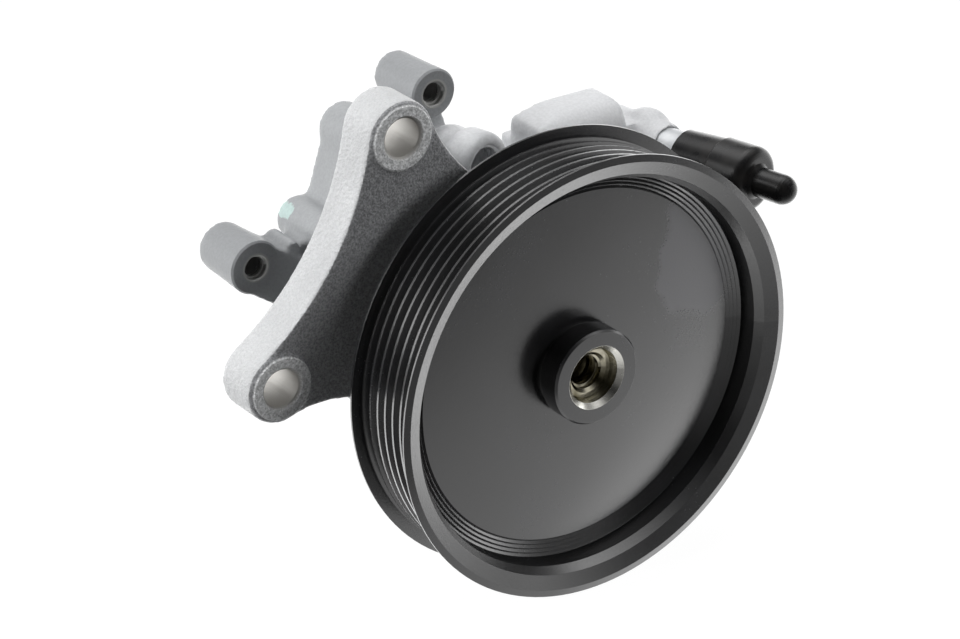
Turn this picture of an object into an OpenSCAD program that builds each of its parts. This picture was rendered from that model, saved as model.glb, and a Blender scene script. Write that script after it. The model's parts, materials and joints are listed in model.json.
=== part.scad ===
// Power steering pump: a vane pump with a multi-rib belt pulley, a front bracket with two bolt ears,
// a cast housing behind it and a capped inlet tube. Millimetres, +Z up.
// The origin lies on the shaft axis in the middle of the belt, the shaft runs along Y, the pulley faces -Y.

/* [Pulley] */
// Outer diameter of the pulley's flanges
pulley_d = 130; // [120:1:140]
// Number of ribs of the belt
rib_count = 6; // [4:1:7]
// Distance between two ribs
rib_pitch = 3.56; // [3.2:0.02:3.8]
// Depth of a groove from crest to root
rib_depth = 2.9; // [2.4:0.1:3.2]
// Angle between the walls of a groove
groove_angle = 40; // [36:1:44]
// Width of the flat root of a groove
root_flat = 0.7; // [0.4:0.1:0.9]
// Height of the flanges above the rib crests
flange_rise = 3.45; // [2.5:0.05:4.5]
// Width of the land on each flange
flange_land = 0.6; // [0.4:0.1:1]
// Width that the inner wall of the front flange leans over
front_lean = 2.7; // [2.2:0.1:3]
// Width that the inner wall of the rear flange leans over
rear_lean = 0.2; // [0.1:0.1:0.8]
// Metal left under the groove roots
rim_wall = 2; // [1.6:0.1:2.6]
// Depth of the web behind the front edge of the rim
web_depth = 10; // [8:0.5:11]
// Thickness of the web
web_t = 3; // [2.5:0.1:3.5]
// Number of turned steps between the rim and the web
rim_steps = 4; // [2:1:5]
// Outer diameter of the hub
hub_d = 28; // [26:0.5:32]
// Depth of the hub's face behind the rim's front edge
hub_recess = 1.3; // [0.8:0.1:2]
// Length of the hub behind the web
hub_rear = 3; // [2:0.1:3.5]

/* [Shaft and bearing] */
// Shaft diameter in the pulley hub
shaft_d = 16; // [15:0.1:16.6]
// Depth of the shaft's end below the hub's front face
shaft_recess = 4; // [3:0.1:5]
// Tapping hole of the thread in the shaft's end
thread_hole_d = 10.2; // [8.5:0.1:10.4]
// Length of the threaded hole
thread_len = 26; // [20:0.5:32]
// Bore of the ball bearing
bearing_bore = 17; // [16.8:0.1:17.4]
// Outer diameter of the ball bearing
bearing_od = 40; // [38:0.5:42]
// Width of the ball bearing
bearing_w = 12; // [11:0.1:13]
// Diameter of a bearing ball
ball_d = 6.7; // [6:0.1:7]
// Number of bearing balls
ball_count = 8; // [7:1:9]
// Thickness of the bearing circlip
circlip_t = 1.75; // [1.5:0.05:2]
// Outer diameter of the shaft seal
seal_od = 30; // [28:0.5:32]
// Width of the shaft seal
seal_w = 7; // [6:0.1:8]
// Outer diameter of the spline that carries the rotor
spline_d = 15; // [14.4:0.1:15.6]
// Number of spline teeth
spline_teeth = 12; // [10:1:14]
// Diameter of the rear journal
journal_d = 12; // [11:0.1:12.6]
// Length of the rear journal bush
bush_len = 9; // [7:0.5:10]

/* [Front bracket] */
// Distance of the ear holes from the shaft axis
ear_radius = 81.8; // [79:0.2:86]
// Direction of the upper ear around the shaft
ear_up_angle = 120.6; // [118:0.2:123]
// Direction of the lower ear around the shaft
ear_low_angle = 174.8; // [172:0.2:177]
// Outer radius of an ear
ear_r = 10.3; // [9.6:0.1:11]
// Diameter of the bolt holes
ear_hole_d = 11; // [10:0.1:12]
// Radius of the machined ring round a bolt hole
ear_face_r = 9.2; // [8.6:0.1:9.4]
// Height of that ring above the plate
ear_rise = 1; // [0.6:0.1:1.5]
// Gap between the pulley and the bracket plate
plate_gap = 8.5; // [7:0.5:10]
// Depth of the bracket from its front to its back
plate_depth = 13.5; // [12.5:0.5:15]
// Front wall of the bracket over the cored back
plate_wall = 6; // [5:0.5:7]
// Side wall round the cored back
rim_t = 4.5; // [4:0.1:5]
// Radius of the bracket's round centre
disc_r = 42.5; // [41:0.5:44]
// Wall of the bearing nose
nose_wall = 6; // [5:0.5:8]
// Gap between the hub and the bearing nose
nose_gap = 1.2; // [0.8:0.1:2]
// Hollow radius between the two ears
hollow_left = 82; // [70:1:100]
// Hollow radius between the upper ear and the centre
hollow_top = 50; // [44:1:56]
// Hollow radius between the lower ear and the centre
hollow_low = 35; // [30:1:40]

/* [Pump set] */
// Diameter of the bore that holds the pump set
cavity_d = 64; // [62:0.5:66]
// Thickness of the front plate
front_plate_t = 6; // [5:0.5:8]
// Width of the cam ring
cam_w = 18; // [16:0.5:20]
// Mean inner radius of the cam ring
cam_r = 21.2; // [20.6:0.1:22]
// Lift of the cam, added and taken away twice a turn
cam_lift = 1.3; // [0.8:0.1:1.5]
// Gap between the rotor and the cam ring where the cam is narrowest
rotor_gap = 1; // [0.6:0.1:1.4]
// Number of vanes
vane_count = 10; // [8:1:12]
// Thickness of a vane
vane_t = 1.8; // [1.4:0.1:2]
// Radial length of a vane
vane_len = 7.8; // [7:0.1:8.4]
// Thickness of the pressure plate
pressure_plate_t = 9; // [8:0.5:10]
// Depth of the chamber behind the pressure plate
chamber_t = 5.5; // [4.5:0.5:7]
// Diameter of the dowel pins
dowel_d = 4; // [3.5:0.1:4.5]
// Distance of the dowel pins from the shaft axis
dowel_radius = 27; // [26.4:0.1:27.6]

/* [Housing] */
// Wall round the pump set
housing_wall = 8; // [7:0.5:9]
// Distance from the bracket to the housing's lobed flange
flange_gap = 14.5; // [13:0.5:17]
// Thickness of the lobed flange
flange_t = 18; // [16:0.5:20]
// Thickness of the housing's rear wall
rear_wall = 14; // [13:0.5:16]
// Radius of the screw lobes
lobe_r = 7.3; // [7:0.1:8]
// Radius of the lobe that carries the paint mark
bump_r = 6.4; // [6.2:0.1:7]
// Diameter of the housing screws
screw_d = 6; // [5:0.5:6]
// Screw depth in the bracket
screw_grip = 10; // [8:0.5:11]
// Diameter of the tapped holes in the two accessory bosses
boss_tap_d = 6.8; // [6:0.1:7]
// Length of the top accessory boss
top_boss_len = 20.6; // [19:0.2:22]
// Length of the side accessory boss
side_boss_len = 18.6; // [17.6:0.2:20]
// Depth of the tapped holes
boss_tap_len = 16; // [14:0.5:16.5]
// Front radius of the top accessory boss
top_boss_r = 7.2; // [6.8:0.1:7.6]
// Front radius of the side accessory boss
side_boss_r = 7.8; // [7.4:0.1:8.2]
// Draft of the accessory bosses, taken off the radius at their back
boss_draft = 0.7; // [0.4:0.1:1]
// Radius of the pressure port boss
port_boss_r = 9.7; // [9.4:0.1:10.5]
// Tapping hole of the pressure port
port_tap_d = 12.5; // [11.5:0.1:13]
// Depth of the pressure port
port_tap_len = 15; // [13:0.5:16]
// Height of the suction block above the shaft axis
suction_top = 51.5; // [50:0.5:53]
// Width of the suction block
suction_w = 30.5; // [28:0.5:32]

/* [Control valve] */
// Bore of the flow control valve
valve_d = 13; // [12:0.2:14]
// Wall round the valve bore
valve_wall = 3.2; // [3:0.1:4]
// Height of the valve bore below the shaft axis
valve_drop = 26; // [25:0.5:28]
// Length of the control spool
spool_len = 24; // [20:0.5:26]
// Length of the spool spring at rest
spring_len = 22; // [19:0.5:24]
// Wire diameter of the spool spring
spring_wire = 1.4; // [1.1:0.1:1.6]
// Turns of the spool spring
spring_turns = 6; // [5:1:7]
// Thread diameter of the valve plug
plug_d = 16; // [15.4:0.1:17]
// Thread length of the valve plug
plug_len = 10; // [8:0.5:12]

/* [Inlet tube and cap] */
// Angle of both ports away from the shaft direction
port_yaw = 13.2; // [11:0.2:15]
// Outer diameter of the inlet tube
tube_d = 13.8; // [13:0.1:14.4]
// Wall of the inlet tube
tube_wall = 1.3; // [1:0.1:1.6]
// Length of the tube in front of its boss
tube_out = 28; // [25:0.5:30]
// Length of the tube inside its boss
tube_in = 6; // [5:0.5:6.5]
// Radius of the inlet neck at its root
inlet_boss_r = 8.5; // [8.2:0.1:9]
// Height of the inlet tube above the shaft axis
inlet_z = 33.8; // [32:0.2:36]
// Free length of tube between the boss and the cap
cap_start = 9.5; // [8:0.1:11]
// Outer diameter of the cap at its open end
cap_mouth_d = 16.2; // [15.6:0.1:17]
// Length of the cap's sleeve
cap_sleeve = 13.8; // [12:0.2:16]
// Outer diameter of the cap's head
cap_head_d = 19.2; // [18.4:0.1:20]
// Length of the cap's head
cap_head = 12.4; // [11:0.2:14]
// Diameter of the cap's nipple
nipple_d = 8.7; // [8:0.1:9.4]
// Length of the cap's nipple
nipple_len = 13; // [11:0.5:15]
// Gap between the pulley's rim and the cap
cap_gap = 3.3; // [2.5:0.1:5]

/* [Clearances] */
// Radial clearance of turning and sliding fits
running = 0.05; // [0.03:0.01:0.08]
// Clearance of pieces that slip together
slip = 0.04; // [0.02:0.01:0.06]

/* [Hidden] */
$fn = 96;

// Pulley, from the belt's middle outwards
rim_r = pulley_d / 2;
crest_r = rim_r - flange_rise;
root_r = crest_r - rib_depth;
belt_w = rib_count * rib_pitch;
rim_back = belt_w / 2 + rear_lean + flange_land;
rim_front = -belt_w / 2 - front_lean - flange_land;
rim_ridge = 0.3;
ridge_in = 2;
face_in = 5.95;
face_drop = 1.3;
wall_lip = 0.7;
wall_lip_y = 3.8;
rim_in_r = root_r - rim_wall;
web_front = rim_front + web_depth;
web_back = web_front + web_t;
steps_w = 4.65;
step_rise = 0.3;
step_dip = 0.5;
edge_break = 0.6;
hub_r = hub_d / 2;
hub_front = rim_front + hub_recess;
hub_back = web_back + hub_rear;
hub_neck = 1.1;
bore_bevel = 1.4;

// Stations along the shaft
nose_front = hub_back + nose_gap;
nose_lip = 1.4;
circlip_y = nose_front + nose_lip;
bearing_y = circlip_y + circlip_t;
bearing_back = bearing_y + bearing_w;
bearing_mid = bearing_y + bearing_w / 2;
seal_y = bearing_back + 0.4;
seal_back = seal_y + seal_w;
plate_front = rim_back + plate_gap;
plate_back = plate_front + plate_depth;
cam_y = plate_back + front_plate_t;
cam_back = cam_y + cam_w;
pressure_back = cam_back + pressure_plate_t;
chamber_back = pressure_back + chamber_t;
housing_back = chamber_back + rear_wall;
flange_y = plate_back + flange_gap;
flange_back = flange_y + flange_t;

// Shaft and bearing radii
shaft_r = shaft_d / 2;
shaft_front = hub_front + shaft_recess;
seat_r = bearing_bore / 2;
journal_r = journal_d / 2;
journal_y = cam_back + 0.2;
bush_y = chamber_back + 0.5;
bush_wall = 2;
shaft_back = bush_y + bush_len - 0.5;
spline_r = spline_d / 2;
spline_root = spline_r - 0.9;
pitch_r = (bearing_bore + bearing_od) / 4;
ball_r = ball_d / 2;
race_r = ball_r + 0.1;
race_lip = 2;
clip_gap = 6;
clip_lug = 2.4;
clip_eye = 0.9;
passage_r = seat_r + 1;
garter_r = 0.7;

// Bracket and lobes, as [x, z] points round the shaft axis
function polar(r, a) = [r * cos(a), r * sin(a)];
ear_up = polar(ear_radius, ear_up_angle);
ear_low = polar(ear_radius, ear_low_angle);
lobes = [[-31.4, 55.8], [-46.6, 32.3], [13, -47], [45.5, -15]];
lobe_rs = [lobe_r, bump_r, lobe_r, lobe_r];
arm_foot = [-39.3, 31];
arm_w = 11;
lobe_draft = 0.5;
arm_rib = [[-57.8, 31.5], [-61, 26.5]];
arm_rib_w = 4;
gusset = [[-50, 30], [-58.5, 24.5]];
gusset_w = 7;
top_boss = [-11.6, 66.2];
column_foot = [0, 34];
column_back = 9;
side_boss = [-70.8, 29.3];
side_foot = [-34, 4.2];
nose_r = bearing_od / 2 + nose_wall;
cavity_r = cavity_d / 2;
barrel_r = cavity_r + housing_wall;
screw_r = screw_d / 2;
screw_head_r = screw_r + 2;
screw_seat = flange_back - screw_d - 0.6;

// Pump set
set_r = cavity_r - slip;
rotor_r = cam_r - cam_lift - rotor_gap;
spring_out = cavity_r * 0.78;
spring_in = cavity_r * 0.41;
spring_leaf = chamber_t / 4;
slot_root = rotor_r + 0.4 - vane_len;
face_cord = 0.9;
face_step = 2.2;
cord_r = 1;
plug_cord = 0.6;
kidney_w = 4;

// Ports, which share one yaw; the inlet tube clears the pulley's rim by cap_gap
pressure_port = [-2.9, plate_back + 1.2, 46.5];
port_step = 2;
port_round = 2.4;
port_drop = -40;
drill_point = 0.3;
cap_tip = cap_start + cap_sleeve + cap_head + nipple_len;
cap_head_r = cap_head_d / 2;
cap_reach = cap_start + cap_sleeve + cap_head - 2;
cap_plane = 8;
cap_round = 3;
cap_x = sqrt(pow(rim_r + cap_gap + cap_head_r, 2) - inlet_z * inlet_z);
inlet = [cap_x - cap_reach * sin(port_yaw), cap_plane + cap_reach * cos(port_yaw), inlet_z];
tube_r = tube_d / 2;
neck_end = 3;
neck_r = tube_d / 2 + 0.9;
seal_ring_t = 1.2;
suction_x = 19.8;
suction_front = plate_back + 6.5;
suction_depth = 16;
suction_round = 9;
passage_t = 12.5;
passage_x = inlet[0] - passage_t * sin(port_yaw);

// Control valve, along X behind the pressure chamber
valve_r = valve_d / 2;
valve_y = chamber_back + valve_r + 2;
valve_end = -24;
plug_gap = 2;
spool_x = valve_end + spring_len;
spool_front = spool_x + spool_len;
valve_face = spool_front + plug_gap + plug_len;

// Turns a profile of [radius, y] points round the shaft axis
module turned() rotate([-90, 0, 0]) rotate_extrude() children();

// Extrudes an outline of [x, z] points from y0 to y1
module slab(y0, y1) translate([0, y1, 0]) rotate([90, 0, 0]) linear_extrude(y1 - y0) children();

// Round bar along Y at the [x, z] point p, with radius r at y0 and r_end at y1
module rod(r, y0, y1, p = [0, 0], r_end = -1)
  translate([p[0], y0, p[1]]) rotate([-90, 0, 0]) cylinder(r1 = r, r2 = r_end < 0 ? r : r_end, h = y1 - y0);

// Hole along Y at the [x, z] point p, from y0 to y1, with its mouth bevelled at y0
module drill(r, y0, y1, p, bevel)
  translate([p[0], 0, p[1]]) turned() polygon([[0, y0 - 1], [r + bevel + 1, y0 - 1], [r, y0 + bevel], [r, y1], [0, y1]]);

// Places children with their Z axis along a port's axis, pointing back into the housing from p
module along_port(p) translate(p) rotate([0, 0, port_yaw]) rotate([-90, 0, 0]) children();

// Places children with their Z axis along +X on the valve's axis
module along_valve(x) translate([x, valve_y, -valve_drop]) rotate([0, 90, 0]) children();

// Straight bar of width w between two points, with round ends
module bar(a, b, w) {
  d = b - a;
  translate(a) circle(d = w);
  translate(b) circle(d = w);
  translate(a) rotate(atan2(d[1], d[0])) translate([0, -w / 2]) square([norm(d), w]);
}

// Ring of cord radius r on a circle of radius big_r
module cord_ring(big_r, r) rotate_extrude() translate([big_r, 0]) circle(r, $fn = 32);

// Centre of the circle of radius r that touches two circles from outside, on the left going from a to b
function touching(a, ra, b, rb, r) =
  let (d = norm(b - a), u = (b - a) / d, m = ((ra + r) ^ 2 - (rb + r) ^ 2 + d * d) / (2 * d))
  a + u * m + [-u[1], u[0]] * sqrt((ra + r) ^ 2 - m * m);

// Points of an elliptic quarter from angle a0 to a1
function sweep(c, rx, ry, a0, a1, n = 8) = [for (i = [0:n]) let (a = a0 + (a1 - a0) * i / n) c + [rx * cos(a), ry * sin(a)]];

// Grooves for the belt, as points from front to back
function rib_points() =
  let (root = root_flat / 2, top = root + rib_depth * tan(groove_angle / 2))
  [for (i = [0:rib_count - 1]) let (y = (i + 0.5) * rib_pitch - belt_w / 2)
    each [[crest_r, y - top], [root_r, y - root], [root_r, y + root], [crest_r, y + top]]];

// Turned steps that lead from the web out to the rim's inner wall, each with a groove at its foot
function step_points() =
  let (run = steps_w / rim_steps, foot = rim_in_r - steps_w)
  [for (i = [0:rim_steps - 1]) let (r = foot + run * i, y = web_front - step_rise * i)
    each [[r, y], [r + run / 6, y + step_dip]]];

module pulley() color("#2a2b2e") turned() polygon(concat(
  [[rim_r - ridge_in, rim_front - rim_ridge], [rim_r, rim_front], [rim_r, rim_front + flange_land]],
  [[crest_r, -belt_w / 2]], rib_points(), [[crest_r, belt_w / 2]],
  [[rim_r, rim_back - flange_land], [rim_r, rim_back]],
  [[rim_in_r + edge_break, rim_back], [rim_in_r, rim_back - edge_break]],
  sweep([rim_in_r - hub_rear, web_back + hub_rear], hub_rear, hub_rear, 0, -90),
  sweep([hub_r + 2, web_back + 2], 2, 2, 270, 180),
  [[hub_r, hub_back], [shaft_r, hub_back], [shaft_r, hub_front + bore_bevel], [shaft_r + bore_bevel, hub_front]],
  [[hub_r - edge_break, hub_front], [hub_r, hub_front + edge_break]],
  [[hub_r, web_front - 2 * hub_neck], [hub_r - hub_neck, web_front - hub_neck], [hub_r - hub_neck, web_front]],
  step_points(),
  [[rim_in_r, web_front - step_rise * rim_steps], [rim_in_r + wall_lip, rim_front + wall_lip_y]],
  [[rim_r - face_in, rim_front + face_drop]]
));

// Outline of the rotor spline, grown by gap for the bore that slips over it
module spline(gap) {
  circle(spline_root + gap);
  for (i = [0:spline_teeth - 1])
    rotate(i * 360 / spline_teeth) translate([0, -spline_root * PI / spline_teeth / 2 - gap])
      square([spline_r + gap, spline_root * PI / spline_teeth + 2 * gap]);
}

module drive_shaft() color("#9a9c98") {
  difference() {
    union() {
      turned() polygon([
        [0, shaft_front], [shaft_r - edge_break, shaft_front], [shaft_r, shaft_front + edge_break],
        [shaft_r, hub_back], [seat_r, hub_back], [seat_r, cam_y - 1], [spline_root, cam_y],
        [spline_root, cam_back - running], [journal_r - 1, cam_back - running], [journal_r - 1, cam_back + 1.2],
        [journal_r, cam_back + 1.2], [journal_r, shaft_back - edge_break],
        [journal_r - edge_break, shaft_back], [0, shaft_back]
      ]);
      slab(cam_y, cam_back - running) spline(0);
    }
    turned() polygon([
      [0, shaft_front - 1], [thread_hole_d / 2 + 1.9, shaft_front - 1], [thread_hole_d / 2 + 0.9, shaft_front],
      [thread_hole_d / 2, shaft_front + 0.9], [thread_hole_d / 2, shaft_front + thread_len],
      [0, shaft_front + thread_len + thread_hole_d / 3]
    ]);
  }
}

// Slots for the vanes, or with no gap the vanes themselves
module vane_set(r0, r1, gap)
  for (i = [0:vane_count - 1])
    rotate(i * 360 / vane_count) translate([r0, -vane_t / 2 - gap]) square([r1 - r0, vane_t + 2 * gap]);

module rotor() color("#7d8084") slab(cam_y + running, cam_back - running) difference() {
  circle(rotor_r);
  spline(slip);
  vane_set(slot_root - slip, rotor_r + 1, slip);
}

module vanes() color("#b5b7b9") slab(cam_y + running, cam_back - running)
  vane_set(slot_root, slot_root + vane_len, 0);

module rotor_snap_ring() color("#56585a") slab(cam_back, cam_back + 1.2) difference() {
  circle(spline_r + 1);
  circle(journal_r - 1 + slip);
  translate([0, -1.5]) square([spline_r + 2, 3]);
}

// Bearing ring between two radii with the ball track cut in
module race(r0, r1) difference() {
  turned() translate([r0, bearing_y]) square([r1 - r0, bearing_w]);
  turned() translate([pitch_r, bearing_mid]) circle(race_r);
}

module bearing_inner_ring() color("#c2c4c6") race(seat_r, pitch_r - race_lip);

module bearing_outer_ring() color("#c2c4c6") race(pitch_r + race_lip, bearing_od / 2);

// One shape at each ball's place
module each_ball() for (i = [0:ball_count - 1])
  rotate([0, i * 360 / ball_count, 0]) translate([pitch_r, bearing_mid, 0]) children();

module bearing_balls() color("#d6d8da") each_ball() sphere(ball_r);

module bearing_cage() color("#b08d4c") difference() {
  turned() translate([pitch_r - 0.9, bearing_mid - ball_r - 1]) square([1.8, ball_d + 2]);
  each_ball() rotate([0, 90, 0]) cylinder(r = ball_r + 0.12, h = ball_d, center = true);
}

module bearing_circlip() color("#4c4e50") slab(circlip_y, circlip_y + circlip_t) difference() {
  union() {
    difference() {
      circle(bearing_od / 2 + 1);
      circle(bearing_od / 2 - 2);
    }
    for (s = [-1, 1]) translate([s * (clip_gap / 2 + clip_lug - 1), clip_lug - bearing_od / 2]) circle(clip_lug);
  }
  translate([-clip_gap / 2, -bearing_od]) square([clip_gap, bearing_od]);
  for (s = [-1, 1]) translate([s * (clip_gap / 2 + clip_lug - 1), clip_lug - bearing_od / 2]) circle(clip_eye);
}

module shaft_seal() color("#3a2f2a") turned() polygon([
  [seal_od / 2, seal_y], [seal_od / 2, seal_back], [seal_od / 2 - 1.2, seal_back], [seal_od / 2 - 1.2, seal_y + 2],
  [seat_r + 2.8, seal_y + 2], [seat_r + 2.8, seal_y + 3.4], [seat_r + 2, seal_y + 4.2], [seat_r + 2.8, seal_y + 5],
  [seat_r + 2.8, seal_back - 0.6], [seat_r + running, seal_y + 4.2], [seat_r + 0.8, seal_y + 1.4],
  [seat_r + 0.8, seal_y]
]);

module seal_spring() color("#aeb0b2")
  turned() translate([seat_r + 2 + (garter_r + slip) * sqrt(2), seal_y + 4.2]) circle(garter_r, $fn = 24);

// Outline of the bracket: ears and centre joined through hollow sides, drawn in by inset
module bracket_outline(inset = 0) {
  top = touching(ear_up, ear_r, [0, 0], disc_r, hollow_top);
  low = touching([0, 0], disc_r, ear_low, ear_r, hollow_low);
  left = touching(ear_low, ear_r, ear_up, ear_r, hollow_left);
  circle(disc_r - inset);
  for (p = [ear_up, ear_low]) translate(p) circle(ear_r - inset);
  difference() {
    polygon([[0, 0], top, ear_up, left, ear_low, low]);
    translate(top) circle(hollow_top + inset);
    translate(low) circle(hollow_low + inset);
    translate(left) circle(hollow_left + inset);
  }
}

module front_bracket() color("#a9abad") difference() {
  union() {
    difference() {
      slab(plate_front, plate_back) bracket_outline();
      slab(plate_front + plate_wall, plate_back + 1) bracket_outline(rim_t);
    }
    for (p = [ear_up, ear_low]) {
      rod(ear_face_r, plate_front - ear_rise, plate_back, p);
    }
    rod(barrel_r, plate_front, plate_back);
    rod(nose_r, nose_front, plate_front);
    rod(nose_r + 4, plate_front - 4, plate_front, r_end = nose_r + 8);
    for (i = [0:3]) rod(lobe_rs[i], plate_front, plate_back, lobes[i]);
    for (p = [lobes[2], lobes[3]]) slab(plate_front, plate_back - 1) bar(p, p * 0.6, 2 * lobe_r - 3);
    slab(plate_front, plate_back - 2) for (p = [ear_up, ear_low]) bar(p, p * 0.4, rim_t);
  }
  rod(bearing_od / 2, nose_front - 1, bearing_back);
  rod(bearing_od / 2 + 1 + slip, circlip_y, bearing_y);
  rod(seal_od / 2, bearing_back - 1, seal_back);
  rod(passage_r, seal_back - 1, plate_back + 1);
  for (p = [ear_up, ear_low]) drill(ear_hole_d / 2, plate_front - ear_rise, plate_back + 1, p, 0.6);
  for (p = lobes) rod(screw_r + slip, plate_back - screw_grip, plate_back + 1, p);
  for (s = [-1, 1]) rod(dowel_d / 2 + slip, plate_back - 4, plate_back + 1, [0, s * dowel_radius]);
  along_port(pressure_port) translate([0, 0, -plate_depth * 2]) cylinder(r = port_boss_r + 1, h = plate_depth * 2 + 2);
}

// Outline of the housing's lobed flange
module flange_outline() {
  circle(disc_r);
  for (i = [0:3]) translate(lobes[i]) circle(lobe_rs[i]);
  for (p = [lobes[2], lobes[3]]) bar(p, p * 0.6, 2 * lobe_r - 3);
  bar(lobes[0], arm_foot, arm_w);
  polygon([lobes[0], lobes[1], [-30, 0], [0, 30]]);
}

// Suction block, sloping down to a rounded shoulder on its left
module suction_outline() {
  r = 2.5;
  right = suction_x + suction_w;
  polygon([
    [suction_x, 10], [suction_x, suction_top - 2 - r], [suction_x + r, suction_top - 2],
    [suction_x + 11, suction_top], [right - r, suction_top], [right, suction_top - r], [right, 10]
  ]);
  translate([suction_x + r, suction_top - 2 - r]) circle(r);
  translate([right - r, suction_top - r]) circle(r);
}

// Side of the suction block, as [y, z], with its front edge rounded
module suction_side() {
  back = suction_front + suction_depth;
  translate([suction_front, 0]) square([suction_depth + 1, suction_top - suction_round]);
  translate([suction_front + suction_round, 0]) square([back + 1 - suction_front - suction_round, suction_top + 1]);
  translate([suction_front + suction_round, suction_top - suction_round]) circle(suction_round);
}

module housing_solid() {
  rod(barrel_r, plate_back, flange_back);
  rod(barrel_r - 2, flange_back, housing_back - 4);
  rod(barrel_r - 2, housing_back - 4, housing_back, r_end = barrel_r - 8);
  slab(flange_y, flange_back) flange_outline();
  for (i = [0:3]) rod(lobe_rs[i] - lobe_draft, plate_back, flange_y + 2, lobes[i], lobe_rs[i] - 0.2);
  rod(top_boss_r, flange_y, flange_y + top_boss_len, top_boss, top_boss_r - boss_draft);
  slab(flange_y + column_back, flange_back - 3) bar(top_boss, column_foot, top_boss_r + 3);
  rod(side_boss_r, flange_y, flange_y + side_boss_len, side_boss, side_boss_r - boss_draft);
  slab(flange_y, flange_back - 4) bar(side_boss, side_foot, 2 * side_boss_r - 1);
  slab(flange_y + 1, flange_back - 5) bar(arm_rib[0], arm_rib[1], arm_rib_w);
  slab(flange_y + 2.4, flange_back - 6) bar(gusset[0], gusset[1], gusset_w);
  intersection() {
    slab(suction_front, suction_front + suction_depth) suction_outline();
    translate([suction_x - 1, 0, 0]) rotate([90, 0, 90]) linear_extrude(suction_w + 2) suction_side();
  }
  along_port(pressure_port) rotate_extrude() polygon(concat(
    [[0, 0]], sweep([port_boss_r - port_round, port_round], port_round, port_round, -90, 0),
    [[port_boss_r, 8.5], [port_boss_r - port_step, 8.5 + port_step]],
    sweep([0, 13.5], port_boss_r - 1, port_boss_r - 1, 0, 90)
  ));
  along_port(inlet) {
    rotate_extrude() polygon([
      [0, -neck_end], [neck_r, -neck_end], [inlet_boss_r, 2], [inlet_boss_r, 20], [0, 20]
    ]);
    translate([1.8, -2.2, 6.5]) sphere(inlet_boss_r - 0.7);
  }
  slab(inlet[1] + 3, inlet[1] + 20) polygon([
    [20, 0], [inlet[0] - 4, inlet_z - inlet_boss_r], [inlet[0] - 3, inlet_z + 8],
    [suction_x + suction_w - 1, inlet_z + 9], [20, inlet_z + 9]
  ]);
  along_valve(valve_end - 4) cylinder(r = valve_r + valve_wall, h = valve_face - valve_end + 4);
  along_valve(valve_face - plug_len - 2) cylinder(r = plug_d / 2 + valve_wall, h = plug_len + 2);
}

module pump_housing() color("#b9bbbd") difference() {
  housing_solid();
  rod(cavity_r, plate_back - 1, chamber_back);
  rod(journal_r + bush_wall, chamber_back - 1, bush_y + bush_len + 0.5);
  rod(cavity_r + face_step, plate_back - 1, plate_back + 2 * face_cord);
  for (p = lobes) {
    rod(screw_r + 0.4, plate_back - 1, flange_back, p);
    rod(screw_head_r + 0.3, screw_seat, flange_back + 1, p);
  }
  for (p = [top_boss, side_boss]) {
    drill(boss_tap_d / 2, flange_y, flange_y + boss_tap_len, p, 0.8);
  }
  along_port(pressure_port) {
    rotate_extrude() polygon([
      [0, -1], [port_tap_d / 2 + 1.7, -1], [port_tap_d / 2, 0.7], [port_tap_d / 2, port_tap_len],
      [0, port_tap_len + port_tap_d * drill_point]
    ]);
    translate([0, 0, port_tap_len - 2]) rotate([port_drop, 0, 0]) cylinder(r = 3, h = 27);
  }
  along_port(inlet) {
    translate([0, 0, -cap_start]) cylinder(r = tube_r, h = cap_start + tube_in + seal_ring_t);
    cylinder(r = tube_r - tube_wall, h = 17);
  }
  translate([0, inlet[1] + passage_t * cos(port_yaw), 0])
    rotate([0, 90 - atan2(inlet_z, passage_x), 0]) cylinder(r = 4.5, h = norm([passage_x, inlet_z]));
  along_valve(valve_end) cylinder(r = valve_r, h = valve_face - valve_end + 1);
  along_valve(valve_face - plug_len) cylinder(d = plug_d + 2 * slip, h = plug_len + 1);
  rod(2.5, chamber_back - 1, valve_y, [0, -valve_drop]);
}

module housing_oring() color("#202124") translate([0, plate_back + face_cord, 0]) rotate([-90, 0, 0])
  cord_ring(cavity_r + face_step / 2, face_cord);

module housing_screws() color("#8d9094") for (p = lobes) difference() {
  union() {
    rod(screw_r, plate_back - screw_grip + 1, flange_back - 1, p);
    rod(screw_head_r, screw_seat, screw_seat + screw_d, p);
  }
  translate([p[0], screw_seat + screw_d / 2, p[1]]) rotate([-90, 0, 0])
    cylinder(r = screw_r * 0.95, h = screw_d, $fn = 6);
}

// Kidney ports of a plate, two of them opposite each other
module kidneys(a) for (t = [a, a + 180]) rotate(t) intersection() {
  difference() {
    circle(cam_r + kidney_w / 2);
    circle(cam_r - kidney_w / 2);
  }
  polygon([[0, 0], [2 * cam_r, -cam_r], [2 * cam_r, cam_r]]);
}

// Plate of the pump set with kidney ports and holes for the shaft and the dowels
module set_plate(y0, y1, hole_r, port_angle) slab(y0, y1) difference() {
  circle(set_r);
  circle(hole_r);
  kidneys(port_angle);
  for (s = [-1, 1]) translate([0, s * dowel_radius]) circle(dowel_d / 2 + slip);
}

module front_plate() color("#8a8d90") set_plate(plate_back, cam_y, passage_r, 45);

module cam_ring() color("#6f7275") slab(cam_y, cam_back) difference() {
  circle(set_r);
  polygon([for (a = [0:5:355]) polar(cam_r + cam_lift * cos(2 * a), a)]);
  for (s = [-1, 1]) translate([0, s * dowel_radius]) circle(dowel_d / 2 + slip);
}

module pressure_plate() color("#8a8d90") difference() {
  set_plate(cam_back, pressure_back, spline_r + 1.6, -45);
  turned() translate([set_r - 2 * cord_r, cam_back + 4]) square([4 * cord_r, 2.6]);
}

module plate_oring() color("#202124") translate([0, cam_back + 5.3, 0]) rotate([-90, 0, 0])
  cord_ring(set_r - cord_r, cord_r);

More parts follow.
